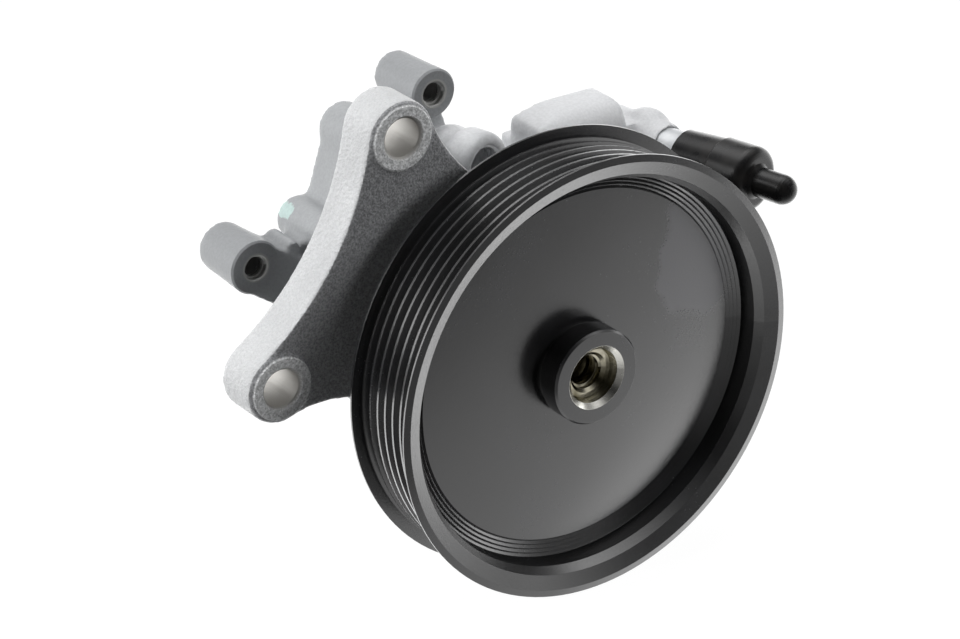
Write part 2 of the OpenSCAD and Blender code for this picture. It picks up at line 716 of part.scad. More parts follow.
module dowel_pins() color("#a0a3a6") for (s = [-1, 1])
  rod(dowel_d / 2, plate_back - 3.5, pressure_back - 1, [0, s * dowel_radius]);

module plate_spring() color("#7a7d80") turned() polygon([
  [spring_out, pressure_back], [spring_out, pressure_back + spring_leaf],
  [spring_in + spring_leaf, chamber_back], [spring_in, chamber_back],
  [spring_in, chamber_back - spring_leaf], [spring_out - spring_leaf, pressure_back]
]);

module rear_bush() color("#b58b4a") turned() translate([journal_r + running, bush_y])
  square([bush_wall - running, bush_len]);

module valve_plug() color("#7f8285") difference() {
  union() {
    along_valve(valve_face - plug_len) cylinder(d = plug_d, h = plug_len);
    along_valve(valve_face) cylinder(d = plug_d + 4, h = 2);
    along_valve(valve_face + 2) cylinder(d = plug_d + 3, h = 6, $fn = 6);
    along_valve(valve_face - plug_len - plug_gap) cylinder(r = valve_r - 2.5, h = plug_gap + 1);
  }
  along_valve(valve_face - 2) translate([0, 0, -0.4]) difference() {
    cylinder(d = plug_d + 2, h = 2.4);
    cylinder(d = plug_d - 4 * plug_cord, h = 2.4);
  }
}

module plug_oring() color("#202124") along_valve(valve_face - 1.2) cord_ring(plug_d / 2 - plug_cord, plug_cord);

module control_spool() color("#c8cacc") along_valve(spool_x) rotate_extrude() polygon([
  [0, 3], [3, 3], [3, 0], [valve_r - running - 0.5, 0], [valve_r - running, 0.5],
  [valve_r - running, spool_len * 0.4], [valve_r - 1.6, spool_len * 0.4 + 1.4], [valve_r - 1.6, spool_len * 0.65],
  [valve_r - running, spool_len * 0.65 + 1.4], [valve_r - running, spool_len - 3],
  [valve_r - 2.2, spool_len - 1], [valve_r - 2.2, spool_len], [0, spool_len]
]);

// Points of one ring of the spring's wire, at turn t from 0 to 1
function wire_ring(t, sides) =
  let (a = 360 * spring_turns * t, r = valve_r - 0.6 - spring_wire / 2 - running,
    x = spring_wire / 2 + (spring_len - spring_wire) * t)
  [for (k = [0:sides - 1]) let (b = 360 * k / sides, q = r + spring_wire / 2 * cos(b))
    [q * cos(a), q * sin(a), x + spring_wire / 2 * sin(b)]];

module spool_spring() color("#9da0a3") along_valve(valve_end) {
  sides = 8;
  rings = 12 * spring_turns;
  polyhedron(
    [for (i = [0:rings]) each wire_ring(i / rings, sides)],
    concat(
      [[for (k = [0:sides - 1]) k]],
      [for (i = [0:rings - 1], k = [0:sides - 1])
        let (p = i * sides + k, q = i * sides + (k + 1) % sides) [p, p + sides, q + sides, q]],
      [[for (k = [sides - 1:-1:0]) rings * sides + k]]
    )
  );
}

module inlet_tube() color("#c9ccd0") along_port(inlet) difference() {
  translate([0, 0, -tube_out]) cylinder(r = tube_r, h = tube_out + tube_in);
  translate([0, 0, -tube_out - 1]) cylinder(r = tube_r - tube_wall, h = tube_out + tube_in + 2);
}

module tube_seal_ring() color("#202124") along_port(inlet) translate([0, 0, tube_in]) difference() {
  cylinder(r = tube_r - slip, h = seal_ring_t);
  translate([0, 0, -1]) cylinder(r = tube_r - tube_wall, h = seal_ring_t + 2);
}

module transport_cap() color("#1f2022") along_port(inlet) mirror([0, 0, 1]) rotate_extrude() polygon(concat(
  [[tube_r + running, cap_start], [cap_mouth_d / 2, cap_start]],
  [[cap_head_r - 0.6, cap_start + cap_sleeve - 0.6], [cap_head_r - 0.1, cap_start + cap_sleeve]],
  sweep([cap_head_r - cap_round, cap_start + cap_sleeve + cap_head - cap_round], cap_round, cap_round, 0, 90),
  [[nipple_d / 2 + 1, cap_tip - nipple_len], [nipple_d / 2, cap_tip - nipple_len + 1]],
  sweep([0, cap_tip - nipple_d / 2], nipple_d / 2, nipple_d / 2, 0, 90),
  [[0, tube_out + 1], [tube_r + running, tube_out + 1]]
));

pulley();
drive_shaft();
rotor();
vanes();
rotor_snap_ring();
bearing_inner_ring();
bearing_balls();
bearing_cage();
bearing_outer_ring();
bearing_circlip();
shaft_seal();
seal_spring();
front_bracket();
pump_housing();
housing_oring();
housing_screws();
front_plate();
cam_ring();
pressure_plate();
plate_oring();
dowel_pins();
plate_spring();
rear_bush();
valve_plug();
plug_oring();
control_spool();
spool_spring();
inlet_tube();
tube_seal_ring();
transport_cap();
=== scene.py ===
"""Looks of a power steering pump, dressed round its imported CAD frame, in metres.

The two castings get the soft edges of poured metal with their machined faces cut again, the tapped
holes get their threads, and every piece gets a finish that is made of nodes.
"""

import json
import logging
import math
from dataclasses import dataclass, field
from enum import Enum

import bmesh
import bpy
from mathutils import Matrix, Vector

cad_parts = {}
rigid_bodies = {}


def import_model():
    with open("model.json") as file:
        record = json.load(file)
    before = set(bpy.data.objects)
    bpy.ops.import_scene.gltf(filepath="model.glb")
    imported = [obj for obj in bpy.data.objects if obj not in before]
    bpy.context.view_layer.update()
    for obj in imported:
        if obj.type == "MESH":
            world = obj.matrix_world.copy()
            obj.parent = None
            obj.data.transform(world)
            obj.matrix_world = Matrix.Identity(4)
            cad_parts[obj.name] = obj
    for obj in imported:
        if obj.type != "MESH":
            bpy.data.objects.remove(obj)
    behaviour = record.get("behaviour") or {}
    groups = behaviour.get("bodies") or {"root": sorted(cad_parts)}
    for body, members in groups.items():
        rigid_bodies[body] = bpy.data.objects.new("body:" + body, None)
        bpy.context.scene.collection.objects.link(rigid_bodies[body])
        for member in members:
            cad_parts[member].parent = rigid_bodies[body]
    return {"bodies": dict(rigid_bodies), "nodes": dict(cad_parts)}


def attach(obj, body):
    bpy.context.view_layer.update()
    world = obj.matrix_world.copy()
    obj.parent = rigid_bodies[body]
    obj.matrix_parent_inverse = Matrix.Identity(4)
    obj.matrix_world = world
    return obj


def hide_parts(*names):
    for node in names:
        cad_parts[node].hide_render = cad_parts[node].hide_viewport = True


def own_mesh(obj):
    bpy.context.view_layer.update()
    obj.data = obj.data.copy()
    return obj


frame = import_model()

LOG = logging.getLogger("pump")
Mesh = bmesh.types.BMesh
Node = bpy.types.Node
Socket = bpy.types.NodeSocket
Thing = bpy.types.Object
Tree = bpy.types.NodeTree
Point = tuple[float, float]
Place = tuple[float, float, float]
# Profile and place of a turned shape
Turned = tuple[list[Point], Matrix]

MM = 0.001
# Points closer than this are one point, in metres
WELD = 1e-7
# Pattern size at which a patch's edge has no wobble on a part this small
CRISP = 1000.0
# Axes of the bracket's bolt holes and the housing's tapped bosses, as x and z in millimetres
UPPER_EAR, LOWER_EAR = (-41.64, 70.41), (-81.46, 7.41)
TOP_BOSS, SIDE_BOSS = (-11.6, 66.2), (-70.8, 29.3)


class Body(Enum):
    """CAD bodies that pieces ride on."""

    HOUSING = "housing"
    SHAFT = "shaft"


def linear(code: str) -> tuple[float, float, float, float]:
    """Turns a colour as written into the renderer's linear light.

    Args:
        code: sRGB colour, such as "#a0a2a4".

    Returns:
        Red, green, blue and alpha.
    """
    parts = [int(code[i:i + 2], 16) / 255 for i in (1, 3, 5)]
    return (*[p / 12.92 if p <= 0.04045 else ((p + 0.055) / 1.055) ** 2.4 for p in parts], 1.0)


def per_mm(size: float) -> float:
    """Scale of a pattern whose features are `size` millimetres apart."""
    return 1 / (size * MM)


def add(tree: Tree, kind: str, feeds: dict[str | int, object] | None = None,
        **settings: object) -> Node:
    """Adds a node with its settings and links.

    Args:
        tree: Tree that takes the node.
        kind: Type of the node.
        feeds: Value or output socket for each input, by name or number.
        settings: Attributes of the node.

    Returns:
        The new node.
    """
    node = tree.nodes.new(kind)
    for key, value in settings.items():
        setattr(node, key, value)
    for key, value in (feeds or {}).items():
        if isinstance(value, Socket):
            tree.links.new(value, node.inputs[key])
        else:
            node.inputs[key].default_value = value
    return node


def new_material(name: str) -> tuple[bpy.types.Material, Tree, Node]:
    """Starts a material.

    Args:
        name: What the material is and how its surface was made.

    Returns:
        The material, its empty tree and its Principled shader, which is joined to the output.
    """
    material = bpy.data.materials.new(name)
    material.use_nodes = True
    tree = material.node_tree
    tree.nodes.clear()
    shader = add(tree, "ShaderNodeBsdfPrincipled")
    add(tree, "ShaderNodeOutputMaterial", {"Surface": shader.outputs[0]})
    return material, tree, shader


@dataclass(frozen=True)
class Patch:
    """A patch of another colour on a surface, in millimetres.

    Noise of the size `ragged` makes its edge wander, and `soft` is half the width over which the
    edge fades, as a share of the reach.
    """

    centre: Place
    reach: Place
    ragged: float
    colour: str
    soft: float = 0.06
    # Where the edge lies: the whole reach, and noise at its middle value
    edge: float = 1.0 + 0.5

    @classmethod
    def round_axis(cls, axis: Point, middle: float, radius: float, half: float, ragged: float,
                   colour: str, soft: float = 0.06) -> "Patch":
        """Makes a patch round an axis that is parallel to the shaft.

        Args:
            axis: The axis, as x and z.
            middle: The patch's middle along y.
            radius: Its reach from the axis.
            half: Its reach along y.
            ragged: Size of the noise at its edge.
            colour: Its sRGB colour.
            soft: Half the width of its edge.

        Returns:
            The patch.
        """
        return cls((axis[0], middle, axis[1]), (radius, half, radius), ragged, colour, soft)

    def mask(self, tree: Tree, place: Socket) -> Socket:
        """Adds nodes that are 1 on the patch and 0 off it.

        Args:
            tree: The material's tree.
            place: Object coordinates.

        Returns:
            The mask.
        """
        away = add(tree, "ShaderNodeVectorMath", {0: place, 1: Vector(self.centre) * MM},
                   operation="SUBTRACT")
        share = add(tree, "ShaderNodeVectorMath",
                    {0: away.outputs[0], 1: [per_mm(r) for r in self.reach]}, operation="MULTIPLY")
        far = add(tree, "ShaderNodeVectorMath", {0: share.outputs[0]}, operation="LENGTH")
        noise = add(tree, "ShaderNodeTexNoise",
                    {"Vector": place, "Scale": per_mm(self.ragged), "Detail": 3.0})
        line = add(tree, "ShaderNodeMath", {0: noise.outputs["Fac"], 1: far.outputs["Value"]},
                   operation="ADD")
        fade = add(tree, "ShaderNodeMapRange", {
            "Value": line.outputs[0], "From Min": self.edge + self.soft,
            "From Max": self.edge - self.soft})
        return fade.outputs["Result"]


@dataclass(frozen=True)
class CastAluminium:
    """Die-cast aluminium after shot blasting: dull, pale, dented by the shot and a little stained.

    `grain` and `relief` are the dents' width and depth in millimetres, and `speckle` is how far the
    dents shade a mark. The drilled bores are smoother bare metal.
    """

    name: str
    light: str
    dark: str
    grain: float
    relief: float
    marks: tuple[Patch, ...]
    bores: tuple[Patch, Patch]
    speckle: float = 0.05
    roughness: float = 0.55
    stain: float = 14.0
    skin_bump: float = 0.9
    bore_bump: float = 0.1
    bore_sheen: float = 0.5

    def paint(self) -> bpy.types.Material:
        """Builds the material.

        Returns:
            The material.
        """
        material, tree, shader = new_material(self.name)
        place = add(tree, "ShaderNodeTexCoord").outputs["Object"]
        # Shot leaves dents about half a millimetre wide, which show where the light grazes them
        dents = add(tree, "ShaderNodeTexNoise",
                    {"Vector": place, "Scale": per_mm(self.grain), "Detail": 3.0})
        pits = add(tree, "ShaderNodeTexVoronoi",
                   {"Vector": place, "Scale": per_mm(self.grain * 2.4)})
        stain = add(tree, "ShaderNodeTexNoise",
                    {"Vector": place, "Scale": per_mm(self.stain), "Detail": 4.0})
        speckle = add(tree, "ShaderNodeMapRange", {
            "Value": dents.outputs["Fac"], "From Min": 0.3, "From Max": 0.7, "To Min": 0.55})
        clouds = add(tree, "ShaderNodeMapRange", {
            "Value": stain.outputs["Fac"], "From Min": 0.3, "From Max": 0.7, "To Min": 0.65})
        tone = add(tree, "ShaderNodeMath", {0: speckle.outputs[0], 1: clouds.outputs[0]},
                   operation="MULTIPLY")
        colour = add(tree, "ShaderNodeMix", {
            "Factor": tone.outputs[0], "A": linear(self.dark), "B": linear(self.light)},
            data_type="RGBA")
        shade = add(tree, "ShaderNodeMapRange", {
            "Value": dents.outputs["Fac"], "From Min": 0.35, "From Max": 0.65,
            "To Min": 1 - self.speckle, "To Max": 1 + self.speckle})
        # Each mark is laid on speckled by the dents; the bracket's darker front among them is
        # painted shade
        for mark in self.marks:
            skin = add(tree, "ShaderNodeVectorMath",
                       {0: linear(mark.colour)[:3], 1: shade.outputs[0]}, operation="MULTIPLY")
            colour = add(tree, "ShaderNodeMix", {
                "Factor": mark.mask(tree, place), "A": colour.outputs["Result"],
                "B": skin.outputs[0]}, data_type="RGBA")
        # Drilled holes are bare metal, which the drill's fine marks dull
        bare = [bore.mask(tree, place) for bore in self.bores]
        for bore, mask in zip(self.bores, bare):
            colour = add(tree, "ShaderNodeMix", {
                "Factor": mask, "A": colour.outputs["Result"], "B": linear(bore.colour)},
                data_type="RGBA")
        drilled = add(tree, "ShaderNodeMath", {0: bare[0], 1: bare[1]}, operation="MAXIMUM")
        sheen = add(tree, "ShaderNodeMath", {0: drilled.outputs[0], 1: self.bore_sheen},
                    operation="MULTIPLY")
        relief = add(tree, "ShaderNodeMath", {0: dents.outputs["Fac"], 1: pits.outputs["Distance"]},
                     operation="ADD")
        depth = add(tree, "ShaderNodeMapRange", {
            "Value": drilled.outputs[0], "To Min": self.skin_bump, "To Max": self.bore_bump})
        bump = add(tree, "ShaderNodeBump", {
            "Height": relief.outputs[0], "Strength": depth.outputs[0],
            "Distance": self.relief * MM})
        rough = add(tree, "ShaderNodeMapRange", {
            "Value": dents.outputs["Fac"], "To Min": self.roughness - 0.1,
            "To Max": self.roughness + 0.1})
        tree.links.new(colour.outputs["Result"], shader.inputs["Base Color"])
        tree.links.new(sheen.outputs[0], shader.inputs["Metallic"])
        tree.links.new(rough.outputs[0], shader.inputs["Roughness"])
        tree.links.new(bump.outputs[0], shader.inputs["Normal"])
        return material


@dataclass(frozen=True)
class CoatedPulley:
    """Turned steel under black dip coating: a satin black mirror, with bare steel in the bore.

    `bore` is the radius inside which the steel is bare, and the sizes are in millimetres.
    """

    name: str
    black: str
    worn: str
    steel: str
    bore: float
    marks: tuple[Patch, ...]
    grain: float = 0.7
    stain: float = 26.0
    nick: float = 5.0
    edge: float = 0.1

    def paint(self) -> bpy.types.Material:
        """Builds the material.

        Returns:
            The material.
        """
        material, tree, shader = new_material(self.name)
        place = add(tree, "ShaderNodeTexCoord").outputs["Object"]
        axes = add(tree, "ShaderNodeSeparateXYZ", {0: place})
        flat = add(tree, "ShaderNodeCombineXYZ",
                   {"X": axes.outputs["X"], "Y": axes.outputs["Z"]})
        radius = add(tree, "ShaderNodeVectorMath", {0: flat.outputs[0]}, operation="LENGTH")
        # The coat's grain is drawn coarser than it is, so that it shows
        grain = add(tree, "ShaderNodeTexNoise",
                    {"Vector": place, "Scale": per_mm(self.grain), "Detail": 3.0})
        stain = add(tree, "ShaderNodeTexNoise",
                    {"Vector": place, "Scale": per_mm(self.stain), "Detail": 5.0})
        nicks = add(tree, "ShaderNodeTexVoronoi", {"Vector": place, "Scale": per_mm(self.nick)})
        cloud = add(tree, "ShaderNodeMapRange", {
            "Value": stain.outputs["Fac"], "From Min": 0.45, "From Max": 0.75, "To Min": 0.0,
            "To Max": 0.35})
        coat = add(tree, "ShaderNodeMix", {
            "Factor": cloud.outputs[0], "A": linear(self.black), "B": linear(self.worn)},
            data_type="RGBA")
        dull = cloud
        for mark in self.marks:
            patch = mark.mask(tree, place)
            coat = add(tree, "ShaderNodeMix", {
                "Factor": patch, "A": coat.outputs["Result"], "B": linear(mark.colour)},
                data_type="RGBA")
            dull = add(tree, "ShaderNodeMath", {0: dull.outputs[0], 1: patch}, operation="MAXIMUM")
        bare = add(tree, "ShaderNodeMapRange", {
            "Value": radius.outputs["Value"], "From Min": (self.bore + 0.02) * MM,
            "From Max": self.bore * MM})
        colour = add(tree, "ShaderNodeMix", {
            "Factor": bare.outputs[0], "A": coat.outputs["Result"], "B": linear(self.steel)},
            data_type="RGBA")
        # Small nicks in the coat, its grain, and turned edges that the coat rounds
        dips = add(tree, "ShaderNodeMapRange", {
            "Value": nicks.outputs["Distance"], "From Min": 0.02, "From Max": 0.1})
        relief = add(tree, "ShaderNodeMath", {0: dips.outputs[0], 1: grain.outputs["Fac"]},
                     operation="ADD")
        edges = add(tree, "ShaderNodeBevel", {"Radius": self.edge * MM}, samples=4)
        bump = add(tree, "ShaderNodeBump", {
            "Height": relief.outputs[0], "Strength": 0.5, "Distance": 0.035 * MM,
            "Normal": edges.outputs[0]})
        gloss = add(tree, "ShaderNodeMapRange", {
            "Value": grain.outputs["Fac"], "To Min": 0.16, "To Max": 0.3})
        # Stains and haze are a little rougher than the clean coat
        rough = add(tree, "ShaderNodeMath", {0: dull.outputs[0], 1: 0.1, 2: gloss.outputs[0]},
                    operation="MULTIPLY_ADD")
        tree.links.new(colour.outputs["Result"], shader.inputs["Base Color"])
        tree.links.new(bare.outputs[0], shader.inputs["Metallic"])
        tree.links.new(rough.outputs[0], shader.inputs["Roughness"])
        tree.links.new(bump.outputs[0], shader.inputs["Normal"])
        # Black oxide under the coat mirrors more than paint does
        shader.inputs["IOR"].default_value = 1.9
        return material


@dataclass(frozen=True)
class FinishedMetal:
    """Ground, drawn or sintered metal: a clean sheen, broken by fine marks and thin oil.

    `mark` and `film` are the sizes of the marks and of the oil's patches in millimetres.
    """

    name: str
    light: str
    dark: str
    roughness: float
    mark: float = 0.4
    metallic: float = 1.0
    film: float = 6.0
    spread: float = 0.3

    def paint(self) -> bpy.types.Material:
        """Builds the material.

        Returns:
            The material.
        """
        material, tree, shader = new_material(self.name)
        place = add(tree, "ShaderNodeTexCoord").outputs["Object"]
        # Tool marks are drawn coarser than they are, so that they show
        marks = add(tree, "ShaderNodeTexNoise",
                    {"Vector": place, "Scale": per_mm(self.mark), "Detail": 2.0})
        film = add(tree, "ShaderNodeTexNoise",
                   {"Vector": place, "Scale": per_mm(self.film), "Detail": 3.0})
        tone = add(tree, "ShaderNodeMapRange", {
            "Value": film.outputs["Fac"], "From Min": 0.3, "From Max": 0.7})
        colour = add(tree, "ShaderNodeMix", {
            "Factor": tone.outputs[0], "A": linear(self.dark), "B": linear(self.light)},
            data_type="RGBA")
        rough = add(tree, "ShaderNodeMapRange", {
            "Value": marks.outputs["Fac"], "To Min": self.roughness * (1 - self.spread),
            "To Max": self.roughness * (1 + self.spread)})
        bump = add(tree, "ShaderNodeBump", {
            "Height": marks.outputs["Fac"], "Strength": 0.15, "Distance": 0.02 * MM})
        tree.links.new(colour.outputs["Result"], shader.inputs["Base Color"])
        tree.links.new(rough.outputs[0], shader.inputs["Roughness"])
        tree.links.new(bump.outputs[0], shader.inputs["Normal"])
        shader.inputs["Metallic"].default_value = self.metallic
        return material


@dataclass(frozen=True)
class MouldedRubber:
    """Moulded synthetic rubber: near black, half glossy, with a dusty bloom.

    `dust` and `skin` are the sizes of the bloom's patches and of the mould's texture in
    millimetres.
    """

    name: str
    black: str
    bloom: str
    roughness: float
    shine: float = 0.3
    dust: float = 5.0
    skin: float = 0.5

    def paint(self) -> bpy.types.Material:
        """Builds the material.

        Returns:
            The material.
        """
        material, tree, shader = new_material(self.name)
        place = add(tree, "ShaderNodeTexCoord").outputs["Object"]
        dust = add(tree, "ShaderNodeTexNoise",
                   {"Vector": place, "Scale": per_mm(self.dust), "Detail": 5.0})
        # The mould's texture is drawn coarser than it is, so that it shows
        skin = add(tree, "ShaderNodeTexNoise",
                   {"Vector": place, "Scale": per_mm(self.skin), "Detail": 2.0})
        veil = add(tree, "ShaderNodeMapRange", {
            "Value": dust.outputs["Fac"], "From Min": 0.4, "From Max": 0.8, "To Min": 0.0,
            "To Max": 0.6})
        colour = add(tree, "ShaderNodeMix", {
            "Factor": veil.outputs[0], "A": linear(self.black), "B": linear(self.bloom)},
            data_type="RGBA")
        rough = add(tree, "ShaderNodeMapRange", {
            "Value": dust.outputs["Fac"], "To Min": self.roughness - 0.08,
            "To Max": self.roughness + 0.14})
        bump = add(tree, "ShaderNodeBump", {
            "Height": skin.outputs["Fac"], "Strength": 0.2, "Distance": 0.03 * MM})
        tree.links.new(colour.outputs["Result"], shader.inputs["Base Color"])
        tree.links.new(rough.outputs[0], shader.inputs["Roughness"])
        tree.links.new(bump.outputs[0], shader.inputs["Normal"])
        shader.inputs["Specular IOR Level"].default_value = self.shine
        return material


# Paler round the port and the suction block, darker on the two bosses, and a dab of inspection
# paint
HOUSING_MARKS = (Patch((-5.0, 43.0, 46.5), (14.0, 13.0, 14.0), 20.0, "#d6d7d9", 0.25),
                 Patch((42.0, 48.0, 40.0), (34.0, 26.0, 26.0), 20.0, "#d6d7d9", 0.25),
                 Patch.round_axis(SIDE_BOSS, 58.0, 11.0, 16.0, 20.0, "#8b8d8f", 0.25),
                 Patch.round_axis(TOP_BOSS, 58.0, 10.5, 16.0, 20.0, "#8b8d8f", 0.25),
                 Patch((-54.0, 63.5, 36.6), (4.6, 4.5, 2.8), 2.0, "#b3c6c3"))
# A hazy stain in the pulley's coat, right of the hub
PULLEY_MARKS = (Patch((41.0, -4.0, 24.0), (13.0, 2.0, 22.0), 12.0, "#48484c", 0.12),)
# The plate's front, painted darker than its walls as shade, and the two faces that the bolts press
# on, which keep the walls' colour
BRACKET_SHADE_AND_FACES = (Patch((-50.0, 18.9, 35.0), (200.0, 1.3, 200.0), CRISP, "#8b8c8e"),
                 Patch.round_axis(UPPER_EAR, 18.0, 13.0, 1.8, CRISP, "#d6d7d8"),
                 Patch.round_axis(LOWER_EAR, 18.0, 13.0, 1.8, CRISP, "#d6d7d8"))
EAR_BORES = (Patch.round_axis(UPPER_EAR, 27.5, 6.15, 24.0, CRISP, "#b0aeaa"),
             Patch.round_axis(LOWER_EAR, 27.5, 6.15, 24.0, CRISP, "#b0aeaa"))
BOSS_BORES = (Patch.round_axis(SIDE_BOSS, 58.0, 4.1, 40.0, CRISP, "#a8a8a6"),
              Patch.round_axis(TOP_BOSS, 58.0, 4.1, 40.0, CRISP, "#a8a8a6"))
# Finishes by the record's slots
FINISHES = {
    # Pale, grainy walls that scatter the light, with a speckled front painted darker as shade
    "blasted_aluminium": CastAluminium(
        "shot_blasted_cast_aluminium", "#d6d7d8", "#a4a5a7", grain=0.55, relief=0.3,
        marks=BRACKET_SHADE_AND_FACES, bores=EAR_BORES, speckle=0.32),
    # Smoother mid-grey skin with soft stains, paler round the ports
    "cast_aluminium": CastAluminium(
        "die_cast_aluminium", "#a3a5a7", "#888a8c", grain=0.8, relief=0.08, marks=HOUSING_MARKS,
        bores=BOSS_BORES),
    # A satin black mirror with a few nicks, and a bright ring where the bore is bare
    "pulley_black": CoatedPulley(
        "black_coated_turned_steel", "#1c1c1d", "#333438", "#c9c8c2", bore=9.42,
        marks=PULLEY_MARKS),
    # Bright steel that thin oil turns brown in places
    "shaft_steel": FinishedMetal("oiled_turned_steel", "#cfcab8", "#5c5640", 0.2),
    # Cool and clean, close to a mirror
    "ring_steel": FinishedMetal("ground_bearing_steel", "#d4d6d8", "#aeb1b4", 0.2),
    # Warm yellow with a soft sheen
    "cage_brass": FinishedMetal("pressed_brass", "#c9a257", "#9a7a3a", 0.35),
    # Dull grey, broken up by its pressed grains
    "sintered_steel": FinishedMetal("sintered_steel", "#8d9093", "#6a6d70", 0.5, mark=0.6),
    # Dark cool wire with a thin line of light
    "spring_steel": FinishedMetal("blued_spring_steel", "#84878b", "#585b60", 0.35),
    # Milky grey plating, less bright than bare steel
    "zinc_steel": FinishedMetal("zinc_plated_steel", "#8b8e90", "#6c6f71", 0.45, metallic=0.6),
    # Pale plating, nearly matt
    "tube_steel": FinishedMetal(
        "drawn_zinc_plated_tube", "#c2c4c6", "#9da0a3", 0.45, metallic=0.2),
    # Brown gold with a broad sheen
    "bush_bronze": FinishedMetal("cast_bronze", "#b98d4c", "#8a6633", 0.4),
    # Dull black under a grey bloom
    "seal_rubber": MouldedRubber("nitrile_rubber", "#1c1c1d", "#3a3935", 0.5),
    # Deep black with tight highlights and a faint warm bloom
    "cap_rubber": MouldedRubber("moulded_cap_rubber", "#121213", "#2e2c2a", 0.26, shine=0.15),
}


def turned_mesh(profile: list[Point], place: Matrix, steps: int = 96) -> Mesh:
    """Turns a closed profile round the Y axis.

    Args:
        profile: Points of radius and y in millimetres, the first and last on the axis.
        place: Place of the turned shape, in metres.
        steps: Faces round the axis.

    Returns:
        A closed mesh whose faces point outwards.
    """
    made = bmesh.new()
    verts = [made.verts.new((r * MM, y * MM, 0)) for r, y in profile]
    edges = [made.edges.new(pair) for pair in zip(verts, verts[1:])]
    bmesh.ops.spin(made, geom=verts + edges, cent=(0, 0, 0), axis=(0, 1, 0), angle=math.tau,
                   steps=steps, use_merge=True)
    bmesh.ops.remove_doubles(made, verts=made.verts, dist=WELD)
    bmesh.ops.transform(made, matrix=place, verts=made.verts)
    bmesh.ops.recalc_face_normals(made, faces=made.faces)
    return made


def at(x: float, z: float, y: float = 0.0) -> Matrix:
    """Place of a shape whose axis is parallel to the shaft, in millimetres."""
    return Matrix.Translation((x * MM, y * MM, z * MM))


def solid_of(node: str) -> Mesh:
    """Copies a CAD node's solid.

    Args:
        node: Name of the node.

    Returns:
        The copy, with the points of neighbouring triangles merged.
    """
    copy = bmesh.new()
    copy.from_mesh(frame["nodes"][node].data)
    bmesh.ops.remove_doubles(copy, verts=copy.verts, dist=WELD)
    return copy


def as_object(shape: Mesh, name: str) -> Thing:
    """Puts a mesh into a new object and frees it.

    Args:
        shape: The mesh.
        name: Name of the object.

    Returns:
        The object.
    """
    whole = bpy.data.meshes.new(name)
    shape.to_mesh(whole)
    shape.free()
    made = bpy.data.objects.new(name, whole)
    bpy.context.scene.collection.objects.link(made)
    return made


def settle(thing: Thing) -> None:
    """Turns an object's modifiers into plain mesh.

    Args:
        thing: The object.
    """
    graph = bpy.context.evaluated_depsgraph_get()
    shape = bpy.data.meshes.new_from_object(thing.evaluated_get(graph))
    thing.modifiers.clear()
    old = thing.data
    thing.data = shape
    bpy.data.meshes.remove(old)


def soften(thing: Thing, degrees: float) -> None:
    """Shades a mesh smooth, with its sharper edges left crisp.

    Args:
        thing: Object that holds the mesh.
        degrees: Angle from which an edge is crisp.
    """
    edit = bmesh.new()
    edit.from_mesh(thing.data)
    limit = math.radians(degrees)
    for face in edit.faces:
        face.smooth = True
    for edge in edit.edges:
        edge.smooth = len(edge.link_faces) == 2 and edge.calc_face_angle(0) < limit
    edit.to_mesh(thing.data)
    edit.free()


class Cut(Enum):
    """How a tool's shape is joined to a casting."""

    ADD = "UNION"
    TAKE = "DIFFERENCE"


@dataclass
class Casting:
    """A casting: its CAD solid with rounded edges, and its machined faces and holes made again.

    The edges are rounded by `passes` of smoothing on a grid of `voxel` millimetres.
    """

    node: str
    slot: str
    voxel: float
    passes: int = 6
    crisp: float = 38.0
    faces: list[Turned] = field(default_factory=list)
    holes: list[Turned] = field(default_factory=list)

    def rough_shape(self) -> Thing:
        """Copies the solid and rounds every edge.

        Returns:
            The rounded casting.
        """
        thing = as_object(solid_of(self.node), f"{self.node}_casting")
        grid = thing.modifiers.new("grid", "REMESH")
        grid.mode = "VOXEL"
        grid.voxel_size = self.voxel * MM
        ease = thing.modifiers.new("ease", "SMOOTH")
        ease.factor = 0.5
        ease.iterations = self.passes
        settle(thing)
        return thing

    def machine(self, thing: Thing, shapes: list[Turned], cut: Cut) -> None:
        """Adds or takes away turned shapes.

        Args:
            thing: The rounded casting.
            shapes: Profile and place of each shape.
            cut: What is done with them.
        """
        for profile, place in shapes:
            tool = as_object(turned_mesh(profile, place), f"{self.node}_tool")
            step = thing.modifiers.new("step", "BOOLEAN")
            step.operation = cut.value
            step.solver = "EXACT"
            step.object = tool
            settle(thing)
            bpy.data.objects.remove(tool)

    def build(self, finish: bpy.types.Material) -> Thing:
        """Makes the casting and puts it in the CAD node's place.

        Args:
            finish: Its material.

        Returns:
            The finished piece.
        """
        thing = self.rough_shape()
        self.machine(thing, self.faces, Cut.ADD)
        self.machine(thing, self.holes, Cut.TAKE)
        soften(thing, self.crisp)
        thing.data.materials.clear()
        thing.data.materials.append(finish)
        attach(thing, Body.HOUSING.value)
        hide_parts(self.node)
        return thing


